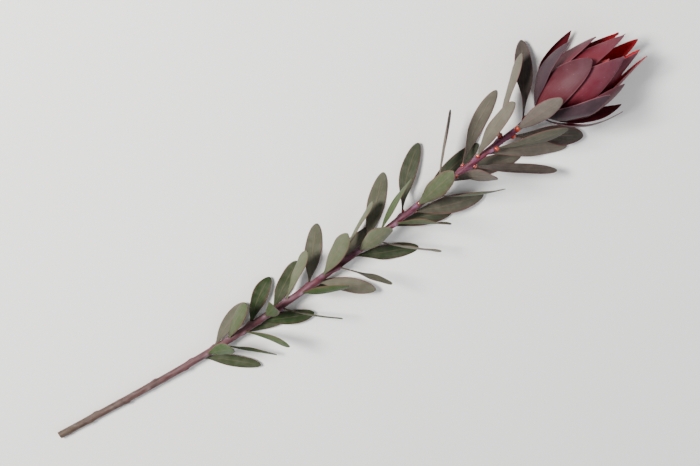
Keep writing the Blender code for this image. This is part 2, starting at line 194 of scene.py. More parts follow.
class Pattern:
    """One output in a material's nodes. Sums and products of patterns add Math nodes."""

    def __init__(self, socket):
        self.socket = socket

    def node(self, kind, settings, inputs, output=0):
        """Adds a node to this pattern's material, and gives one of its outputs."""
        tree = self.socket.id_data
        made = tree.nodes.new(kind)
        for name, setting in settings.items():
            if name == "stops":
                ramp = made.color_ramp
                ramp.elements.remove(ramp.elements[1])
                ramp.elements[0].position, ramp.elements[0].color = setting[0]
                for position, colour in setting[1:]:
                    ramp.elements.new(position).color = colour
            else:
                setattr(made, name, setting)
        for name, given in inputs.items():
            if isinstance(given, Pattern):
                tree.links.new(given.socket, made.inputs[name])
            else:
                made.inputs[name].default_value = given
        return Pattern(made.outputs[output])

    def math(self, operation, *values):
        return self.node("ShaderNodeMath", {"operation": operation}, dict(enumerate(values)))

    def __add__(self, other):
        return self.math("ADD", self, other)

    __radd__ = __add__

    def __sub__(self, other):
        return self.math("SUBTRACT", self, other)

    def __rsub__(self, other):
        return self.math("SUBTRACT", other, self)

    def __mul__(self, other):
        return self.math("MULTIPLY", self, other)

    __rmul__ = __mul__

    def __abs__(self):
        return self.math("ABSOLUTE", self)

    def wave(self):
        """A wave from 0 to 1 that repeats at each whole number."""
        return self.math("SINE", self * (2 * math.pi)) * 0.5 + 0.5

    def rise(self, low, high):
        """Goes smoothly from 0 to 1 while this goes from low to high."""
        ends = {"Value": self, "From Min": low, "From Max": high}
        return self.node("ShaderNodeMapRange", {"interpolation_type": "SMOOTHSTEP"}, ends)

    def blend(self, colour, other):
        """From one colour to the other as this goes from 0 to 1."""
        return self.node("ShaderNodeMix", {"data_type": "RGBA"}, {0: self, 6: colour, 7: other}, 2)

    def ramp(self, stops):
        return self.node("ShaderNodeValToRGB", {"stops": stops}, {"Fac": self})

    def stretched(self, scale):
        return self.node("ShaderNodeMapping", {}, {"Vector": self, "Scale": scale})

    def noise(self, scale, detail=2.0):
        """A soft random pattern from 0 to 1. This is the place that it is read at."""
        return self.node("ShaderNodeTexNoise", {}, {"Vector": self, "Scale": scale, "Detail": detail})

    def specks(self, scale):
        """The distance to the nearest of some scattered points, in steps of their own spacing."""
        return self.node("ShaderNodeTexVoronoi", {}, {"Vector": self, "Scale": scale})

    def measure(self, name):
        """A number that the mesh carries, such as how old a leaf is."""
        return self.node("ShaderNodeAttribute", {"attribute_name": name}, {}, "Fac")

    def spread(self):
        """Along and across a leaf, both 0 to 1, from its own map."""
        place = self.node("ShaderNodeUVMap", {"uv_map": "UVMap"}, {})
        along = place.node("ShaderNodeSeparateXYZ", {}, {"Vector": place}, "X")
        across = place.node("ShaderNodeSeparateXYZ", {}, {"Vector": place}, "Y")
        return along, across


def new_finish(name, **steady):
    """A material whose steady numbers stand on its shader, and the place that its patterns are read at."""
    finish = bpy.data.materials.new(name)
    finish.use_nodes = True
    shader = finish.node_tree.nodes["Principled BSDF"]
    for socket, number in steady.items():
        shader.inputs[socket.replace("_", " ")].default_value = number
    place = finish.node_tree.nodes.new("ShaderNodeTexCoord")
    return finish, Pattern(place.outputs["Object"])


def lay_finish(finish, colour, roughness, relief, depth):
    """Links the patterns to the shader. Relief goes from 0 to 1 and stands depth metres high."""
    shader = finish.node_tree.nodes["Principled BSDF"]
    raised = relief.node("ShaderNodeBump", {}, {"Height": relief, "Distance": depth})
    for socket, pattern in (("Base Color", colour), ("Roughness", roughness), ("Normal", raised)):
        finish.node_tree.links.new(pattern.socket, shader.inputs[socket])


def finish_piece(piece, finish, slot, *nodes):
    """Turns a piece's faces outwards, dresses it, and fixes it to the part in place of these nodes."""
    bpy.ops.object.select_all(action="DESELECT")
    bpy.context.view_layer.objects.active = piece
    piece.select_set(True)
    bpy.ops.object.mode_set(mode="EDIT")
    bpy.ops.mesh.select_all(action="SELECT")
    bpy.ops.mesh.normals_make_consistent(inside=False)
    bpy.ops.object.mode_set(mode="OBJECT")
    piece.data.materials.clear()
    piece.data.materials.append(finish)
    piece.data.shade_smooth()
    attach(piece, "root")
    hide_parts(*nodes)


def cut_long_edges(piece, direction, shortest, cuts):
    """Cuts the edges that run further than shortest along x, y or z, which are directions 0, 1 and 2."""
    bpy.ops.object.mode_set(mode="EDIT")
    bpy.ops.mesh.select_mode(type="EDGE")
    work = bmesh.from_edit_mesh(piece.data)
    for edge in work.edges:
        start, end = edge.verts
        edge.select = abs(start.co[direction] - end.co[direction]) > shortest
    bmesh.update_edit_mesh(piece.data)
    bpy.ops.mesh.subdivide(number_cuts=cuts)
    bpy.ops.object.mode_set(mode="OBJECT")


def make_bark():
    bpy.ops.object.select_all(action="DESELECT")
    bpy.ops.mesh.primitive_cylinder_add(
        vertices=BARK_SIDES,
        radius=1.0,
        depth=STEM_LENGTH,
        end_fill_type="NGON",
        location=(STEM_LENGTH / 2, 0.0, 0.0),
        rotation=(0.0, math.pi / 2, 0.0),
    )
    bark = new_piece("bark")
    for cuts in BARK_CUTS:
        cut_long_edges(bark, 0, 1.0, cuts)
    along, side, rise = points_of(bark).T
    azimuth = np.degrees(np.arctan2(rise, side))
    raised = raised_bark(along, azimuth)
    places = []
    for distance, turned, height in zip(along, azimuth, raised):
        centre, axis, level, upwards = frame_at(distance)
        point = centre + outward(turned, level, upwards) * (stem_radius(distance) + height)
        if distance < 0.5:
            point = point + axis * CUT_SLANT * (point - centre)[2]
        places.append(point)
    places = np.array(places)
    places[:, 2] = np.maximum(places[:, 2], 0.0)
    set_in_frame(bark, places)
    set_measure(bark, "raised", raised / CUSHION_HEIGHT)
    set_measure(bark, "height", along / STEM_LENGTH)
    return bark


def bark_finish():
    finish, place = new_finish("bark", Specular_IOR_Level=0.25)
    raised = place.measure("raised")
    height = place.measure("height")
    streaks = place.stretched((60.0, 700.0, 700.0)).noise(1.0, 3.0)
    blotches = place.noise(90.0, 3.0)
    grain = place.stretched((500.0, 1600.0, 1600.0)).noise(1.0, 2.0)
    young = height.ramp(((0.0, pigment(74, 60, 50)), (0.3, pigment(84, 48, 52)), (0.9, pigment(92, 30, 46))))
    bloom = height.ramp(
        ((0.0, pigment(96, 88, 76)), (0.5, pigment(106, 80, 94)), (1.0, pigment(124, 88, 120)))
    )
    dark = height.ramp(((0.0, pigment(44, 34, 28)), (0.5, pigment(50, 22, 27)), (1.0, pigment(60, 12, 24))))
    colour = (streaks.rise(0.35, 0.7) * 0.45).blend(young, bloom)
    colour = (raised.rise(0.15, 0.9) * blotches.rise(0.3, 0.6) * 0.7).blend(colour, bloom)
    colour = ((1 - raised.rise(0.0, 0.25)) * blotches.rise(0.4, 0.75) * 0.8).blend(colour, dark)
    lay_finish(finish, colour, grain * 0.2 + 0.38, streaks * 0.6 + blotches * 0.5 + grain * 0.4, 0.0006)
    return finish


bark = make_bark()
finish_piece(bark, bark_finish(), "leaf_and_stem", "leafy_stem")

# The cut wood. Shears took the stem off at a slant. Inside the thin bark the real cut shows a ring of pale
# wood with fine rays, round a soft cream pith.
BARK_THICKNESS = 0.5
WOOD_DEPTH = 4.0
WOOD_PROUD = 0.12
WOOD_BEVEL = 0.12
WOOD_OFF_TABLE = 0.3
PITH_RADIUS = 1.1
PITH_RIM = 0.15
PITH_SINK = 0.15


def make_cut_wood():
    bpy.ops.object.select_all(action="DESELECT")
    radius = CUT_RADIUS - BARK_THICKNESS
    bpy.ops.mesh.primitive_cylinder_add(
        vertices=BARK_SIDES,
        radius=radius,
        depth=WOOD_DEPTH,
        location=(WOOD_DEPTH / 2 - WOOD_PROUD, 0.0, 0.0),
        rotation=(0.0, -math.pi / 2, 0.0),
    )
    wood = new_piece("cut_wood")
    bpy.ops.object.mode_set(mode="EDIT")
    bpy.ops.mesh.select_mode(type="FACE")
    work = bmesh.from_edit_mesh(wood.data)
    for face in work.faces:
        face.select = face.normal.x < -0.9
    bmesh.update_edit_mesh(wood.data)
    half_ring = (radius - PITH_RADIUS) / 2
    bpy.ops.mesh.inset(thickness=WOOD_BEVEL, depth=0.08)
    bpy.ops.mesh.inset(thickness=half_ring)
    bpy.ops.mesh.inset(thickness=half_ring - WOOD_BEVEL)
    bpy.ops.mesh.inset(thickness=PITH_RIM, depth=-PITH_SINK)
    bpy.ops.mesh.inset(thickness=PITH_RADIUS * 0.7)
    bpy.ops.object.mode_set(mode="OBJECT")
    centre, axis, level, upwards = frame_at(0.0)
    along, side, rise = points_of(wood).T
    cut = along < 0.5
    places = centre + np.outer(along, axis) - np.outer(side, level) + np.outer(rise, upwards)
    places[cut] += np.outer(CUT_SLANT * rise[cut], axis)
    places[:, 2] = np.maximum(places[:, 2], WOOD_OFF_TABLE)
    set_in_frame(wood, places)
    set_measure(wood, "outness", np.hypot(side, rise) / radius)
    return wood


def wood_finish():
    finish, place = new_finish("cut wood", Specular_IOR_Level=0.3)
    outness = place.measure("outness")
    grain = place.noise(1800.0, 3.0)
    stains = place.noise(450.0, 2.0)
    colour = outness.ramp(
        (
            (0.0, pigment(226, 206, 160)),
            (0.3, pigment(214, 190, 136)),
            (0.36, pigment(188, 166, 106)),
            (0.5, pigment(222, 202, 150)),
            (0.85, pigment(212, 194, 138)),
            (0.93, pigment(150, 150, 88)),
            (1.0, pigment(118, 84, 68)),
        )
    )
    colour = (stains.rise(0.45, 0.8) * 0.4).blend(colour, pigment(150, 112, 76))
    lay_finish(finish, colour, grain * 0.2 + 0.6, grain, 0.0002)
    return finish


cut_wood = make_cut_wood()
finish_piece(cut_wood, wood_finish(), "leaf_and_stem", "leafy_stem")

# The buds. In the axils of the upper leaves sit the resting buds of next year's shoots, glossy, swollen and
# orange to red like beads, largest right under the head. They grew from the stem over each cushion.
FIRST_BUD_NODE = 46
BUD_ABOVE_LEAF = 2.8
SMALL_BUD_RADIUS = 1.6
LARGE_BUD_RADIUS = 3.3
BUD_POINT = 0.35
BUD_LEAN = 0.45
BUD_PROUD = 0.45
BUD_FLATNESS = 0.92
FURROW_DEPTH = 0.07
FURROW_WIDTH = 0.14


def join_pieces(name, pieces):
    """Makes one piece of several, under this name."""
    bpy.ops.object.select_all(action="DESELECT")
    for piece in pieces:
        piece.select_set(True)
    bpy.context.view_layer.objects.active = pieces[0]
    bpy.ops.object.join()
    joined = bpy.context.object
    joined.name = name
    joined.data.name = name
    return joined


def copy_of(model, name):
    piece = bpy.data.objects.new(name, model.data.copy())
    bpy.context.scene.collection.objects.link(piece)
    return piece


def make_buds():
    bpy.ops.object.select_all(action="DESELECT")
    bpy.ops.mesh.primitive_uv_sphere_add(segments=24, ring_count=16, radius=1.0)
    model = new_piece("bud_model")
    shape = points_of(model)
    tip = np.clip(shape[:, 2], 0.0, 1.0)
    shape[:, 2] += BUD_POINT * tip**4
    turned = np.arctan2(shape[:, 1], shape[:, 0])
    beside = (np.abs(turned) - 1.0 - 0.6 * tip) / FURROW_WIDTH
    furrow = 1 - FURROW_DEPTH * np.exp(-(beside**2)) * (1 - tip**6)
    shape[:, :2] *= furrow[:, None]
    buds = []
    for node in range(FIRST_BUD_NODE, NODE_COUNT):
        share = (node - FIRST_BUD_NODE) / (NODE_COUNT - 1 - FIRST_BUD_NODE)
        radius = SMALL_BUD_RADIUS + (LARGE_BUD_RADIUS - SMALL_BUD_RADIUS) * share**2
        along = FIRST_NODE + node * NODE_SPACING + BUD_ABOVE_LEAF
        centre, axis, level, rise = frame_at(along)
        out = outward(node * GOLDEN_ANGLE, level, rise)
        side = np.cross(axis, out)
        way = unit(axis + out * BUD_LEAN)
        thick = unit(np.cross(way, side)) * BUD_FLATNESS
        middle = centre + out * (stem_radius(along) + BUD_PROUD * radius)
        places = middle + radius * (
            np.outer(shape[:, 2], way) + np.outer(shape[:, 0], thick) + np.outer(shape[:, 1], side)
        )
        bud = copy_of(model, f"bud_{node}")
        set_in_frame(bud, places)
        set_measure(bud, "tip", shape[:, 2] / 2 + 0.5)
        set_measure(bud, "ripe", 0.35 + 0.65 * share)
        buds.append(bud)
    bpy.data.objects.remove(model)
    return join_pieces("axil_buds", buds)


def bud_finish():
    finish, place = new_finish("bud", Specular_IOR_Level=0.6, Coat_Weight=0.8, Coat_Roughness=0.08)
    tip = place.measure("tip")
    ripe = place.measure("ripe")
    cloudy = place.noise(500.0, 3.0)
    red = ripe.blend(pigment(96, 24, 28), pigment(140, 20, 14))
    orange = ripe.blend(pigment(128, 52, 36), pigment(200, 72, 24))
    colour = (tip.rise(0.3, 0.95) * cloudy.rise(0.3, 0.65)).blend(red, orange)
    colour = tip.rise(0.94, 1.12).blend(colour, pigment(76, 20, 18))
    lay_finish(finish, colour, cloudy * 0.12 + 0.2, cloudy, 0.0002)
    return finish


axil_buds = make_buds()
finish_piece(axil_buds, bud_finish(), "leaf_and_stem", "leafy_stem")

# The leaves. Each is a tough, leathery blade with a thin red margin, faint veins and a small callous tip,
# narrowed to its foot on the cushion. They stand on the same spiral, one at each cushion past the bare end:
# green low down, grey-green further up, and grey-purple under the head.
SEED = 27
DOWN_AZIMUTH = -90.0
BLADE_THICKNESS = 0.8
MIDLINE_STEPS = 24
END_CROWDING = 0.9
TIP_START = 0.985
CUPPED_BETWEEN = (0.04, 0.36)
TABLE_REACH = 15.0
ROOT_DEPTH = 0.35
SKIRT_WALL = (-1.0, 4.5, 43.0, 22.0, 0.0)
CLOSING_BETWEEN = (34.0, 112.0)
WALL_MARGIN = 1.2
WALL_SOFTNESS = 1.0
FREE_LEAF_LIMIT = 500.0
LEAF_TURN_ASIDE = 58.0
PRESSED_FLOOR = -2.0
FIRST_RESTING_NODE = 30
RESTING_LEAF_ANGLES = (30.0, 56.0)
LEAF_ROWS = 28
LEAF_COLUMNS = 8
FIRST_MIDDLE_NODE = 34
FIRST_UPPER_NODE = 50
MARGIN_WAVE = 0.9

seeded = random.Random(SEED)
loose = random.Random(SEED + 1)


@dataclass
class Blade:
    """One leaf or bract: its outline, and how it leaves its axis and bends."""

    length: float
    width: float
    root_width: float
    widest_at: float
    tip_roundness: float
    lean: float
    tip_lean: float
    bend: float
    twist: float
    cup_radius: float
    floor: float


def from_down(azimuth):
    return (azimuth - DOWN_AZIMUTH + 180.0) % 360.0 - 180.0


def clear_of_table(azimuth, margin):
    """The azimuth, turned sideways if it points more nearly straight down than margin allows."""
    if abs(from_down(azimuth)) >= margin:
        return azimuth
    return DOWN_AZIMUTH + math.copysign(margin, from_down(azimuth))


def leaf_floor(node):
    """How low a leaf may reach. A few on each side are pressed flat on the table."""
    nearest, furthest = RESTING_LEAF_ANGLES
    if node >= FIRST_RESTING_NODE and nearest <= abs(from_down(node * GOLDEN_ANGLE)) <= furthest:
        return PRESSED_FLOOR
    return BLADE_THICKNESS / 2 + 0.6 + 0.7 * (node % 7)


def midline(root, axis, out, blade):
    """Points and directions along the middle of a blade. Near the table the blade levels out along it."""
    point = root
    points = []
    ways = []
    for share in np.linspace(0.0, 1.0, MIDLINE_STEPS + 1):
        lean = math.radians(blade.tip_lean + (blade.lean - blade.tip_lean) * (1 - share) ** blade.bend)
        way = axis * math.cos(lean) + out * math.sin(lean)
        steepest = -min(max(point[2] - blade.floor, 0.0) / TABLE_REACH, 1.0)
        if way[2] < steepest:
            level = unit(way[:2]) * math.sqrt(1 - steepest**2)
            way = np.array((level[0], level[1], steepest))
        points.append(point)
        ways.append(way)
        point = point + way * blade.length / MIDLINE_STEPS
    return np.array(points), np.array(ways)


def head_place(points):
    """How far along the head's axis each point is, how far from it, and in which direction."""
    start, axis, _, _ = frame_at(STEM_LENGTH)
    along = (points - start) @ axis
    away = points - start - along[..., None] * axis
    distance = np.linalg.norm(away, axis=-1)
    return along, distance, away / np.maximum(distance, 1e-6)[..., None]


def wall_radius(wall, along):
    """The radius of the bell between two layers. It widens from its neck and may close again to its top."""
    start, neck, spread, height, closing = wall
    open_bell = neck + spread * (1 - np.exp(-np.maximum(along - start, 0.0) / height))
    return open_bell - closing * smooth(*CLOSING_BETWEEN, along)


def pushed(gap):
    """How far a point is moved that is this far on the wrong side of a wall, without a crease."""
    return (gap + np.sqrt(gap**2 + WALL_SOFTNESS**2)) / 2


def keep_outside(points, wall):
    along, distance, away = head_place(points)
    short = pushed(wall_radius(wall, along) + WALL_MARGIN - distance) * smooth(wall[0], wall[0] + 2.0, along)
    return points + away * short[..., None]


def half_width(blade, share):
    if share < blade.widest_at:
        swell = math.sin(math.pi / 2 * share / blade.widest_at) ** 1.2
    else:
        beyond = min((share - blade.widest_at) / (1 - blade.widest_at), 1.0)
        swell = (1 - beyond**2) ** blade.tip_roundness
    to_tip = min(max((share - TIP_START) / (1 - TIP_START), 0.0), 1.0)
    tip_left = 0.05 * blade.width * math.sqrt(1.02 - to_tip**2)
    root_left = blade.root_width / 2 * (1 - share)
    return max(blade.width / 2 * swell, root_left, tip_left)


def thicken(piece, thickness):
    """Makes a solid plate of a flat piece, half its thickness to each side."""
    plate = piece.modifiers.new("thickness", "SOLIDIFY")
    plate.thickness = thickness
    plate.offset = 0.0
    bpy.ops.object.modifier_apply(modifier=plate.name)


def flat_blade(name, rows, columns):
    """A flat blade to copy: x is how far along each point is, y how far across, z how deep in millimetres."""
    bpy.ops.object.select_all(action="DESELECT")
    bpy.ops.mesh.primitive_grid_add(x_subdivisions=rows, y_subdivisions=columns, size=2.0)
    model = new_piece(name)
    thicken(model, BLADE_THICKNESS)
    cut_long_edges(model, 2, BLADE_THICKNESS / 2, 1)
    shape = points_of(model)
    even = (shape[:, 0] + 1) / 2
    across = shape[:, 1].copy()
    depth = shape[:, 2].copy()
    set_measure(model, "inside", depth / BLADE_THICKNESS + 0.5)
    crowded = (1 - np.cos(math.pi * even)) / 2
    along = even + (crowded - even) * END_CROWDING
    outer = np.abs(depth) > BLADE_THICKNESS / 4
    on_side = np.abs(across) > 0.999
    on_tip = even > 0.999
    foot = 1 - smooth(0.0, 0.14, along)
    depth *= (1 - 0.4 * across**2) * (1 + foot)
    depth[outer & (on_side | on_tip)] *= 0.6
    across[outer & on_side] *= 0.965
    along[outer & on_tip] -= 0.004
    rib = np.exp(-((across / 0.12) ** 2)) * (1 - along)
    depth[outer & (depth < 0)] -= 0.45 * rib[outer & (depth < 0)]
    model.data.vertices.foreach_set("co", np.stack((along, across, depth), axis=1).ravel())
    return model


def bend_blade(model, name, root, axis, out, blade, keep, wrap=None):
    """A copy of the flat blade, bent to its place on the plant.

    wrap gives, for a point on the midline, the radius of the round form that the blade hugs there."""
    along, across, depth = points_of(model).T
    points, ways = midline(root, axis, out, blade)
    steps = np.arange(MIDLINE_STEPS + 1)
    side = np.cross(axis, out)
    stations, place = np.unique(along.round(6), return_inverse=True)
    rows = []
    for share in stations:
        middle = np.array([np.interp(share * MIDLINE_STEPS, steps, points[:, i]) for i in range(3)])
        way = unit(np.array([np.interp(share * MIDLINE_STEPS, steps, ways[:, i]) for i in range(3)]))
        press = 1 - smooth(0.0, TABLE_REACH, middle[2] - blade.floor)
        level = unit(np.cross(UP, way))
        level = level * math.copysign(1.0, level @ side)
        sideways = unit(side * (1 - press) + level * press)
        sideways = unit(sideways - way * (sideways @ way))
        inward = np.cross(way, sideways)
        twist = math.radians(blade.twist) * share * (1 - press)
        sideways, inward = (
            sideways * math.cos(twist) + inward * math.sin(twist),
            inward * math.cos(twist) - sideways * math.sin(twist),
        )
        reach = half_width(blade, share)
        radius = max(wrap(middle) if wrap else blade.cup_radius, 1.1 * reach)
        bow = smooth(*CUPPED_BETWEEN, share) / radius
        rows.append((middle, sideways, inward, reach, bow))
    middle, sideways, inward, reach, bow = (np.array(column)[place.ravel()] for column in zip(*rows))
    offset = across * reach
    turn = offset * bow
    flat = offset * np.sinc(turn / math.pi)
    lift = offset * np.sin(turn / 2) * np.sinc(turn / 2 / math.pi)
    normal = inward * np.cos(turn)[:, None] - sideways * np.sin(turn)[:, None]
    surface = middle + sideways * flat[:, None] + inward * lift[:, None]
    ripple = np.sin(2 * math.pi * (along * loose.uniform(1.2, 2.4) + loose.random() + 0.3 * across))
    ripple = ripple * MARGIN_WAVE * across**2 * smooth(0.1, 0.4, along) * loose.uniform(0.3, 1.0)
    surface = keep(surface + normal * ripple[:, None])
    surface[:, 2] = blade.floor + pushed(surface[:, 2] - blade.floor)
    lowest = surface[:, 2] - np.abs(normal[:, 2]) * BLADE_THICKNESS / 2
    surface[:, 2] += np.maximum(-lowest, 0.0)
    places = surface + normal * depth[:, None]
    places[:, 2] = np.maximum(places[:, 2], 0.0)
    piece = copy_of(model, name)
    set_in_frame(piece, places)
    return piece


def make_leaves():
    """The leaves in three groups, from the bare end to the head."""
    model = flat_blade("leaf_model", LEAF_ROWS, LEAF_COLUMNS)
    groups = {"lower_leaves": [], "middle_leaves": [], "upper_leaves": []}
    for node in range(FIRST_LEAFY_NODE, NODE_COUNT):
        along = FIRST_NODE + node * NODE_SPACING
        share = (node - FIRST_LEAFY_NODE) / (NODE_COUNT - 1 - FIRST_LEAFY_NODE)
        azimuth = node * GOLDEN_ANGLE + seeded.uniform(-9.0, 9.0)
        if along > FREE_LEAF_LIMIT:
            azimuth = clear_of_table(azimuth, LEAF_TURN_ASIDE)
        lean = seeded.uniform(38.0, 54.0)
        blade = Blade(
            length=seeded.uniform(0.9, 1.08) * (56.0 + 24.0 * smooth(0.0, 1.0, share)),
            width=seeded.uniform(0.9, 1.15) * (14.5 + 3.0 * share),
            root_width=3.6,
            widest_at=seeded.uniform(0.55, 0.66),
            tip_roundness=0.55,
            lean=lean,
            tip_lean=lean + seeded.uniform(-26.0, 14.0),
            bend=1.3,
            twist=seeded.uniform(-38.0, 38.0),
            cup_radius=seeded.uniform(14.0, 34.0),
            floor=leaf_floor(node),
        )
        centre, axis, level, rise = frame_at(along)
        out = outward(azimuth, level, rise)
        root = centre + out * stem_radius(along) * ROOT_DEPTH
        leaf = bend_blade(
            model, f"leaf_{node}", root, axis, out, blade, lambda points: keep_outside(points, SKIRT_WALL)
        )
        set_measure(leaf, "tone", share + loose.uniform(-0.16, 0.16))
        set_measure(leaf, "blush", loose.random())
        set_measure(leaf, "pale", loose.random())
        if node < FIRST_MIDDLE_NODE:
            groups["lower_leaves"].append(leaf)
        elif node < FIRST_UPPER_NODE:
            groups["middle_leaves"].append(leaf)
        else:
            groups["upper_leaves"].append(leaf)
    bpy.data.objects.remove(model)
    return [join_pieces(name, leaves) for name, leaves in groups.items()]


def leaf_finish():
    finish, place = new_finish("leaf", Specular_IOR_Level=0.16)
    along, sideways = place.spread()
    beside = abs(sideways * 2 - 1)
    inside = place.measure("inside")
    tone = place.measure("tone")
    blush = place.measure("blush")
    pale = place.measure("pale")
    mottle = place.noise(140.0, 4.0)
    fine = place.noise(1500.0, 2.0)
    wander = place.noise(70.0, 1.0) * 0.5
    veins = (beside * 3.2 - along * 7.0 + wander).wave().rise(0.82, 1.0) * (1 - beside.rise(0.75, 0.95))
    midrib = (1 - beside.rise(0.02, 0.1)) * (1 - along.rise(0.6, 1.0))
    margin = beside.rise(0.9, 0.975)
    outer = tone.ramp(
        (
            (0.0, pigment(42, 68, 24)),
            (0.3, pigment(50, 74, 34)),
            (0.55, pigment(60, 76, 46)),
            (0.8, pigment(70, 74, 58)),
            (1.0, pigment(62, 54, 54)),
        )
    )
    inner = tone.ramp(
        (
            (0.0, pigment(30, 50, 18)),
            (0.3, pigment(36, 54, 26)),
            (0.6, pigment(46, 56, 38)),
            (1.0, pigment(48, 40, 41)),
        )
    )
    colour = inside.rise(0.35, 0.65).blend(outer, inner)
    colour = (pale * pale * 0.45 + mottle.rise(0.35, 0.75) * 0.12).blend(colour, pigment(132, 124, 112))
    colour = (veins * 0.05).blend(colour, pigment(130, 124, 100))
    colour = (blush * beside.rise(0.3, 1.0) * 0.2).blend(colour, pigment(88, 40, 42))
    colour = (midrib * 0.22).blend(colour, pigment(126, 100, 84))
    colour = (1 - along.rise(0.0, 0.16)).blend(colour, pigment(92, 38, 52))
    colour = (margin * 0.6).blend(colour, pigment(104, 56, 56))
    colour = (along.rise(0.965, 0.985) * 0.85).blend(colour, pigment(54, 30, 28))
    relief = fine * 0.15 + mottle * 0.25 + veins * 0.2 + midrib * 0.3
    lay_finish(finish, colour, mottle * 0.15 + 0.48, relief, 0.0004)
    return finish


leaf_surface = leaf_finish()
for leaves in make_leaves():
    finish_piece(leaves, leaf_surface, "leaf_and_stem", "leafy_stem")

# The receptacle. At its top the stem widens into a short knob, dark red and woody, whose sides are covered
# by the feet of the bracts. The cone sits on its end.
RECEPTACLE_PROFILE = ((-1.5, 2.7), (0.3, 2.9), (3.0, 5.0), (6.5, 6.2), (12.0, 6.2), (16.0, 5.0), (18.7, 3.4))
RECEPTACLE_SIDES = 32
RECEPTACLE_CUTS = 20


def make_receptacle():
    start, axis, level, rise = frame_at(STEM_LENGTH)
    bpy.ops.object.select_all(action="DESELECT")
    bpy.ops.mesh.primitive_cylinder_add(vertices=RECEPTACLE_SIDES, radius=1.0, depth=1.0)
    knob = new_piece("receptacle")
    cut_long_edges(knob, 2, 0.5, RECEPTACLE_CUTS)
    shape = points_of(knob)
    lengths, radii = zip(*RECEPTACLE_PROFILE)
    along = lengths[0] + (shape[:, 2] + 0.5) * (lengths[-1] - lengths[0])
    radius = np.interp(along, lengths, radii)
    turned = np.degrees(np.arctan2(shape[:, 1], shape[:, 0]))
    outs = np.array([outward(azimuth, level, rise) for azimuth in turned])
    set_in_frame(knob, start + np.outer(along, axis) + outs * radius[:, None])
    return knob


def receptacle_finish():
    finish, place = new_finish("receptacle", Specular_IOR_Level=0.35)
    blotches = place.noise(260.0, 3.0)
    colour = blotches.blend(pigment(60, 20, 24), pigment(88, 42, 36))
    lay_finish(finish, colour, blotches * 0.2 + 0.5, blotches, 0.0003)
    return finish


receptacle = make_receptacle()
finish_piece(receptacle, receptacle_finish(), "burgundy_bract", "outer_bracts")

# The outer bracts. Narrow grey-purple ones form a loose skirt under the head, and broad burgundy ones the
# outside of its cup. They are leathery, dusted with a pale bloom outside and red inside, and grew from the
# receptacle.
BRACT_ROOT_RADIUS = 3.0
FIRST_NARROW_FOOT = 1.2
NARROW_FOOT_STEP = 0.5
FIRST_BROAD_FOOT = 4.0
FEET_RISE = 3.4
LAID_FROM_FOOT = (2.0, 14.0)
OUTER_BRACT_COUNT = 13
NARROW_BRACT_COUNT = 6
BRACT_TURN_ASIDE = 50.0
CUP_WALL = (9.5, 6.6, 23.4, 17.0, 13.0)
LAYER_STEP = 0.95
LAYER_FLARE = 0.9
FLARE_BETWEEN = (45.0, 110.0)
LAYER_HOLD = 0.85
BRACT_ROWS = 34
BRACT_COLUMNS = 14
SLIM_COLUMNS = 8


def bract_azimuth(number):
    return (NODE_COUNT + number) * GOLDEN_ANGLE


def keep_inside(points, wall):
    along, distance, away = head_place(points)
    over = pushed(distance - wall_radius(wall, along) + WALL_MARGIN) * smooth(wall[0], wall[0] + 2.0, along)
    return points - away * over[..., None]


def layer_radius(number, along):
    """The radius of a bract's own layer of the cup. Each bract lies over all those that grew after it."""
    over_wall = LAYER_STEP * (OUTER_BRACT_COUNT - 0.5 - number)
    return wall_radius(CUP_WALL, along) + over_wall * (1 + LAYER_FLARE * smooth(*FLARE_BETWEEN, along))


def lay_in_cup(points, number, foot):
    """Draws a broad bract to its own layer, and holds a narrow one outside them all."""
    along, distance, away = head_place(points)
    if number < NARROW_BRACT_COUNT:
        missing = pushed(layer_radius(NARROW_BRACT_COUNT - 1, along) - distance)
    else:
        missing = (layer_radius(number, along) - distance) * LAYER_HOLD
    return points + away * (missing * smooth(*LAID_FROM_FOOT, along - foot))[..., None]


def bend_bract(model, name, number, foot, blade, wall, keep):
    """One bract of the head, which hugs the round of the cup. keep holds it to its own side of the wall."""
    start, axis, level, rise = frame_at(STEM_LENGTH)
    azimuth = bract_azimuth(number)
    if number < NARROW_BRACT_COUNT:
        azimuth = clear_of_table(azimuth, BRACT_TURN_ASIDE)
    out = outward(azimuth, level, rise)
    root = start + axis * foot + out * BRACT_ROOT_RADIUS

    def round_of_cup(point):
        return head_place(point)[1] / blade.cup_radius

    def keep_in_place(points):
        return keep(lay_in_cup(points, number, foot), wall)

    bract = bend_blade(model, name, root, axis, out, blade, keep_in_place, round_of_cup)
    age = 1 - (number - NARROW_BRACT_COUNT) / (OUTER_BRACT_COUNT - NARROW_BRACT_COUNT)
    set_measure(bract, "tone", min(max(age, 0.0), 1.0) * 0.8 + loose.uniform(-0.1, 0.2))
    set_measure(bract, "pale", loose.random())
    return bract


def narrow_bract(share):
    return Blade(
        length=84.0 - 6.0 * share + seeded.uniform(-5.0, 5.0),
        width=18.0 + 3.0 * share,
        root_width=6.0,
        widest_at=0.5,
        tip_roundness=0.7,
        lean=66.0,
        tip_lean=seeded.uniform(6.0, 22.0),
        bend=1.6,
        twist=seeded.uniform(-22.0, 22.0),
        cup_radius=1.5,
        floor=BLADE_THICKNESS / 2 + seeded.uniform(0.5, 4.0),
    )


def broad_bract(share):
    return Blade(
        length=80.0 + 24.0 * share + seeded.uniform(-3.0, 3.0),
        width=32.0 + 8.0 * share,
        root_width=10.0,
        widest_at=0.43 - 0.11 * share,
        tip_roundness=0.66 + 0.28 * share,
        lean=72.0 - 4.0 * share,
        tip_lean=seeded.uniform(-20.0, -8.0),
        bend=1.7 + 0.6 * share,
        twist=seeded.uniform(-9.0, 9.0),
        cup_radius=1.1,
        floor=BLADE_THICKNESS / 2 + seeded.uniform(0.6, 2.0),
    )


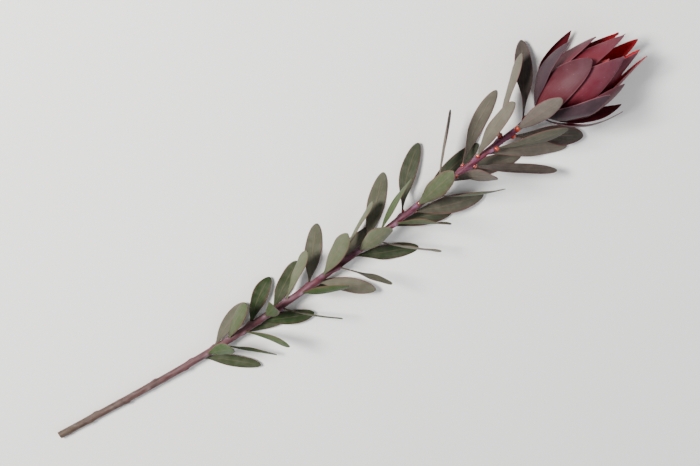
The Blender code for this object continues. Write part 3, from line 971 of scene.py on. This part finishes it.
def make_outer_bracts():
    """The narrow and the broad bracts. The lowest broad one lies flat on the table with its belly."""
    slim = flat_blade("slim_model", BRACT_ROWS, SLIM_COLUMNS)
    wide = flat_blade("wide_model", BRACT_ROWS, BRACT_COLUMNS)
    broad = range(NARROW_BRACT_COUNT, OUTER_BRACT_COUNT)
    lowest = min(broad, key=lambda number: abs(from_down(bract_azimuth(number))))
    narrow_ones, broad_ones = [], []
    for number in range(OUTER_BRACT_COUNT):
        name = f"outer_bract_{number}"
        if number < NARROW_BRACT_COUNT:
            blade = narrow_bract(number / (NARROW_BRACT_COUNT - 1))
            foot = FIRST_NARROW_FOOT + NARROW_FOOT_STEP * number
            narrow_ones.append(bend_bract(slim, name, number, foot, blade, SKIRT_WALL, keep_inside))
        else:
            share = (number - NARROW_BRACT_COUNT) / (OUTER_BRACT_COUNT - NARROW_BRACT_COUNT - 1)
            blade = broad_bract(share)
            foot = FIRST_BROAD_FOOT + FEET_RISE * share
            if number == lowest:
                blade.floor = PRESSED_FLOOR
            broad_ones.append(bend_bract(wide, name, number, foot, blade, SKIRT_WALL, keep_inside))
    bpy.data.objects.remove(slim)
    bpy.data.objects.remove(wide)
    return join_pieces("narrow_bracts", narrow_ones), join_pieces("broad_bracts", broad_ones)


def bract_finish(name, foot, belly, shoulder, tip, dusk, inside_foot, inside_red, inside_shade_and_veins):
    """A leathery bract: four colours up its outside, a dusky one that some turn to, and its red inside,
    darkened low in the cup by painted shade whose colour also draws the inside veins.
    """
    finish, place = new_finish(name, Specular_IOR_Level=0.16)
    along, sideways = place.spread()
    beside = abs(sideways * 2 - 1)
    inside = place.measure("inside").rise(0.35, 0.65)
    tone = place.measure("tone")
    pale = place.measure("pale")
    mottle = place.noise(110.0, 4.0)
    fine = place.noise(1400.0, 2.0)
    wander = place.noise(60.0, 1.0) * 0.6
    veins = (beside * 7.0 - along * 2.0 + wander).wave().rise(0.6, 1.0) * (1 - beside.rise(0.8, 0.95))
    edge = beside.rise(0.93, 0.985)
    dust = place.specks(330.0)
    specks = (1 - dust.rise(0.05, 0.13)) * mottle.rise(0.45, 0.6)
    outer = (along + mottle * 0.1 - 0.05).ramp(((0.04, foot), (0.2, belly), (0.55, shoulder), (0.9, tip)))
    outer = (tone * 0.75).blend(outer, dusk)
    bloom = mottle.rise(0.25, 0.9) * along.rise(0.1, 0.7) * (pale * 0.12 + 0.06)
    outer = bloom.blend(outer, pigment(136, 94, 106))
    outer = (veins * 0.07).blend(outer, pigment(44, 20, 26))
    outer = (specks * 0.35 * (1 - inside)).blend(outer, pigment(158, 132, 136))
    # Inside, painted shade darkens the lower part of the bract, deep in the cup, between its pale foot and
    # its red upper part. The same dark colour draws the inside veins.
    inner = (along + mottle * 0.2 - 0.1).ramp(((0.05, inside_foot), (0.25, inside_shade_and_veins), (0.6, inside_red)))
    inner = (veins * 0.12).blend(inner, inside_shade_and_veins)
    colour = inside.blend(outer, inner)
    colour = (edge * (pale * 0.4 + 0.1)).blend(colour, pigment(146, 92, 100))
    callus = along.rise(0.975, 0.99)
    # A pale ring just below the dark callus is a painted highlight round the tip.
    colour = (along.rise(0.94, 0.97) * (1 - callus) * 0.4).blend(colour, pigment(150, 112, 114))
    colour = (callus * 0.85).blend(colour, pigment(46, 36, 37))
    relief = fine * 0.15 + mottle * 0.25 + veins * 0.12
    lay_finish(finish, colour, mottle * 0.15 + 0.44, relief, 0.0003)
    return finish


narrow_bracts, broad_bracts = make_outer_bracts()
finish_piece(
    narrow_bracts,
    bract_finish(
        "narrow bract",
        foot=pigment(62, 28, 34),
        belly=pigment(62, 32, 38),
        shoulder=pigment(62, 42, 49),
        tip=pigment(68, 50, 58),
        dusk=pigment(50, 40, 45),
        inside_foot=pigment(96, 40, 40),
        inside_red=pigment(80, 18, 26),
        inside_shade_and_veins=pigment(48, 11, 16),
    ),
    "burgundy_bract",
    "outer_bracts",
)
finish_piece(
    broad_bracts,
    bract_finish(
        "broad bract",
        foot=pigment(56, 38, 34),
        belly=pigment(122, 20, 34),
        shoulder=pigment(104, 33, 47),
        tip=pigment(82, 46, 58),
        dusk=pigment(62, 31, 36),
        inside_foot=pigment(158, 84, 80),
        inside_red=pigment(146, 12, 24),
        inside_shade_and_veins=pigment(72, 6, 13),
    ),
    "burgundy_bract",
    "outer_bracts",
)

# The inner bracts. Tall crimson ones close the cup, shorter bright red ones stand within them, and small
# ones, red to orange, sit close round the cone. Their insides are the brightest red of the whole head.
INNER_BRACT_COUNT = 16
FIRST_INNER_FOOT = 12.0
TALL_BRACT_COUNT = 6
RED_BRACT_COUNT = 5
CONE_WALL = (18.0, 4.8, 4.4, 5.0, 0.0)


def tall_bract(share):
    return Blade(
        length=108.0 + seeded.uniform(-5.0, 3.0),
        width=38.0 - 3.0 * share,
        root_width=9.0,
        widest_at=0.42,
        tip_roundness=0.75,
        lean=58.0 - 3.0 * share,
        tip_lean=seeded.uniform(-26.0, -13.0),
        bend=1.6,
        twist=seeded.uniform(-7.0, 7.0),
        cup_radius=1.1,
        floor=BLADE_THICKNESS / 2 + 1.5,
    )


def red_bract(share):
    return Blade(
        length=76.0 - 8.0 * share + seeded.uniform(-3.0, 3.0),
        width=25.0 - 3.0 * share,
        root_width=8.0,
        widest_at=0.42,
        tip_roundness=0.85,
        lean=48.0,
        tip_lean=seeded.uniform(-9.0, -2.0),
        bend=1.8,
        twist=seeded.uniform(-6.0, 6.0),
        cup_radius=1.1,
        floor=BLADE_THICKNESS / 2,
    )


def small_bract(share):
    return Blade(
        length=50.0 - 7.0 * share,
        width=15.0 - 2.0 * share,
        root_width=6.0,
        widest_at=0.45,
        tip_roundness=0.8,
        lean=44.0,
        tip_lean=seeded.uniform(-10.0, -5.0),
        bend=1.6,
        twist=seeded.uniform(-5.0, 5.0),
        cup_radius=1.1,
        floor=BLADE_THICKNESS / 2,
    )


def make_inner_bracts():
    """The tall bracts, the red ones within them, and the small ones close round the cone."""
    wide = flat_blade("wide_model", BRACT_ROWS, BRACT_COLUMNS)
    slim = flat_blade("slim_model", LEAF_ROWS, SLIM_COLUMNS)
    first_small = TALL_BRACT_COUNT + RED_BRACT_COUNT
    groups = {"tall_bracts": [], "red_bracts": [], "small_bracts": []}
    for number in range(INNER_BRACT_COUNT):
        if number < TALL_BRACT_COUNT:
            name, model, blade = "tall_bracts", wide, tall_bract(number / (TALL_BRACT_COUNT - 1))
        elif number < first_small:
            name, model = "red_bracts", wide
            blade = red_bract((number - TALL_BRACT_COUNT) / (RED_BRACT_COUNT - 1))
        else:
            name, model = "small_bracts", slim
            blade = small_bract((number - first_small) / (INNER_BRACT_COUNT - first_small - 1))
        foot = FIRST_INNER_FOOT + FEET_RISE * number / (INNER_BRACT_COUNT - 1)
        order = OUTER_BRACT_COUNT + number
        groups[name].append(
            bend_bract(model, f"inner_bract_{number}", order, foot, blade, CONE_WALL, keep_outside)
        )
    bpy.data.objects.remove(slim)
    bpy.data.objects.remove(wide)
    return [join_pieces(name, bracts) for name, bracts in groups.items()]


tall_bracts, red_bracts, small_bracts = make_inner_bracts()
finish_piece(
    tall_bracts,
    bract_finish(
        "tall bract",
        foot=pigment(100, 36, 38),
        belly=pigment(102, 14, 25),
        shoulder=pigment(96, 22, 34),
        tip=pigment(90, 46, 56),
        dusk=pigment(70, 28, 36),
        inside_foot=pigment(176, 110, 102),
        inside_red=pigment(154, 12, 24),
        inside_shade_and_veins=pigment(84, 6, 13),
    ),
    "red_bract",
    "inner_bracts",
)
finish_piece(
    red_bracts,
    bract_finish(
        "red bract",
        foot=pigment(150, 72, 62),
        belly=pigment(142, 22, 28),
        shoulder=pigment(148, 26, 36),
        tip=pigment(152, 64, 70),
        dusk=pigment(108, 24, 34),
        inside_foot=pigment(184, 124, 106),
        inside_red=pigment(166, 14, 22),
        inside_shade_and_veins=pigment(112, 8, 14),
    ),
    "red_bract",
    "inner_bracts",
)
finish_piece(
    small_bracts,
    bract_finish(
        "small bract",
        foot=pigment(166, 108, 84),
        belly=pigment(162, 42, 28),
        shoulder=pigment(168, 48, 30),
        tip=pigment(174, 80, 52),
        dusk=pigment(150, 32, 30),
        inside_foot=pigment(188, 142, 108),
        inside_red=pigment(178, 44, 24),
        inside_shade_and_veins=pigment(142, 22, 18),
    ),
    "red_bract",
    "inner_bracts",
)

# The cone. The young cone is an egg of tight, fleshy scales on the same spiral, yellow-green with red tips,
# each scale lapping over the next like a tile.
CONE_RADIUS = 6.6
EGG_WIDEST = 0.4
EGG_TAPER = 0.62
EGG_FOOT = 0.45
TOPMOST_SCALE = 0.86
SCALE_COUNT = 64
SCALE_LENGTH = 7.4
SCALE_WIDTH = 5.4
SCALE_THICKNESS = 0.9
SCALE_LIFT = 1.1


def cone_radius(share):
    egg = math.sqrt(max(1 - (max(share - EGG_WIDEST, 0.0) / EGG_TAPER) ** 2, 0.0))
    return CONE_RADIUS * egg * (EGG_FOOT + (1 - EGG_FOOT) * smooth(0.0, EGG_WIDEST, share))


def make_cone_core():
    start, axis, level, rise = frame_at(STEM_LENGTH)
    bpy.ops.object.select_all(action="DESELECT")
    bpy.ops.mesh.primitive_uv_sphere_add(segments=32, ring_count=24, radius=0.5)
    core = new_piece("cone_core")
    shape = points_of(core)
    places = []
    for point in shape:
        share = min(point[2] + 0.5, 1.0)
        out = outward(math.degrees(math.atan2(point[1], point[0])), level, rise)
        wide = cone_radius(share) * min(math.hypot(point[0], point[1]) / 0.12, 1.0)
        places.append(start + axis * (CONE_BOTTOM + (CONE_HEIGHT - 1.0) * share) + out * wide)
    set_in_frame(core, np.array(places))
    set_measure(core, "tip", 0.1)
    return core


def make_cone_scales():
    """Copies a small pointed plate up the egg. Each hugs the egg at its foot and lifts at its tip."""
    start, axis, level, rise = frame_at(STEM_LENGTH)
    bpy.ops.object.select_all(action="DESELECT")
    bpy.ops.mesh.primitive_grid_add(x_subdivisions=6, y_subdivisions=4, size=2.0)
    model = new_piece("scale_model")
    thicken(model, SCALE_THICKNESS)
    shape = points_of(model)
    along = (shape[:, 0] + 1) / 2
    reach = np.sqrt(np.clip(1 - ((along - EGG_WIDEST) / EGG_TAPER) ** 2, 0.02, 1.0))
    across = shape[:, 1] * reach
    depth = shape[:, 2] * (1 - 0.5 * across**2) * (1 - 0.5 * along)
    scales = []
    for number in range(SCALE_COUNT):
        share = (number + 0.3) / SCALE_COUNT * TOPMOST_SCALE
        azimuth = number * GOLDEN_ANGLE
        small = 0.55 + 0.45 * math.sqrt(cone_radius(share) / CONE_RADIUS)
        places = []
        for length, side, deep in zip(along, across, depth):
            height = share + length * small * SCALE_LENGTH / CONE_HEIGHT
            radius = max(cone_radius(min(height, 1.0)), 0.5)
            turned = azimuth + math.degrees(side * small * SCALE_WIDTH / 2 / max(radius, 2.0))
            out = outward(turned, level, rise)
            lift = SCALE_LIFT * (0.2 + 0.8 * length) * (1 - 0.4 * side**2) + deep
            middle = start + axis * (CONE_BOTTOM + CONE_HEIGHT * min(height, 1.0))
            places.append(middle + out * (radius + lift))
        scale = copy_of(model, f"scale_{number}")
        set_in_frame(scale, np.array(places))
        set_measure(scale, "tip", along)
        scales.append(scale)
    bpy.data.objects.remove(model)
    return join_pieces("cone_scales", scales)


def cone_finish():
    finish, place = new_finish("cone scale", Specular_IOR_Level=0.4)
    tip = place.measure("tip")
    mottle = place.noise(300.0, 3.0)
    colour = (tip + mottle * 0.3 - 0.15).ramp(
        ((0.2, pigment(78, 74, 30)), (0.6, pigment(124, 106, 46)), (0.85, pigment(138, 58, 38)))
    )
    lay_finish(finish, colour, mottle * 0.2 + 0.4, mottle, 0.0003)
    return finish


cone_surface = cone_finish()
for piece in (make_cone_core(), make_cone_scales()):
    finish_piece(piece, cone_surface, "cone_scale", "cone")

# The floor, the light and the camera. A plain pale table, one soft light from the upper left, a weaker and
# larger one from the right, and a camera that looks down on the side of the head, as the flowers were seen.
FLOOR_SIZE = 8.0
STEM_ANGLE = 34.0
VIEW_DIRECTION = Vector((0.22, 0.32, 0.92)).normalized()
VIEW_TARGET = Vector((0.03, 0.009, 0.03))
VIEW_DISTANCE = 1.36
LENS = 74.0


def make_floor():
    bpy.ops.object.select_all(action="DESELECT")
    bpy.ops.mesh.primitive_plane_add(size=FLOOR_SIZE)
    floor = new_piece("floor")
    finish, place = new_finish("floor", Specular_IOR_Level=0.2)
    cloudy = place.noise(6.0, 3.0)
    grain = place.noise(900.0, 2.0)
    colour = cloudy.blend(pigment(243, 242, 240), pigment(248, 247, 246))
    lay_finish(finish, colour, grain * 0.1 + 0.7, grain, 0.00005)
    floor.data.materials.append(finish)


def soft_light(name, place, size, power, colour):
    lamp = bpy.data.lights.new(name, "AREA")
    lamp.shape = "DISK"
    lamp.size = size
    lamp.energy = power
    lamp.color = colour
    light = bpy.data.objects.new(name, lamp)
    light.location = place
    light.rotation_euler = (VIEW_TARGET - Vector(place)).to_track_quat("-Z", "Y").to_euler()
    bpy.context.scene.collection.objects.link(light)


def make_sky(colour, strength):
    sky = bpy.data.worlds.new("studio")
    sky.use_nodes = True
    background = sky.node_tree.nodes["Background"]
    background.inputs["Color"].default_value = (*colour, 1.0)
    background.inputs["Strength"].default_value = strength
    bpy.context.scene.world = sky


def make_camera():
    """Turns the picture so that the stem climbs across it at its angle, from the cut end up to the head."""
    start, end = stem_centre(0.0), stem_centre(STEM_LENGTH)
    stem_way = Vector(unit(end - start))
    across = (stem_way - VIEW_DIRECTION * stem_way.dot(VIEW_DIRECTION)).normalized()
    beyond = VIEW_DIRECTION.cross(across)
    angle = math.radians(STEM_ANGLE)
    right = across * math.cos(angle) - beyond * math.sin(angle)
    upwards = VIEW_DIRECTION.cross(right)
    camera = bpy.data.objects.new("camera", bpy.data.cameras.new("camera"))
    camera.data.lens = LENS
    turned = Matrix((right, upwards, VIEW_DIRECTION)).transposed().to_4x4()
    camera.matrix_world = Matrix.Translation(VIEW_TARGET + VIEW_DIRECTION * VIEW_DISTANCE) @ turned
    bpy.context.scene.collection.objects.link(camera)
    bpy.context.scene.camera = camera


make_floor()
make_sky((0.95, 0.97, 1.0), 0.45)
soft_light("key", (-0.4, 1.2, 1.5), 0.6, 80.0, (1.0, 0.98, 0.95))
soft_light("fill", (1.2, -1.0, 1.2), 1.4, 10.0, (0.95, 0.97, 1.0))
make_camera()
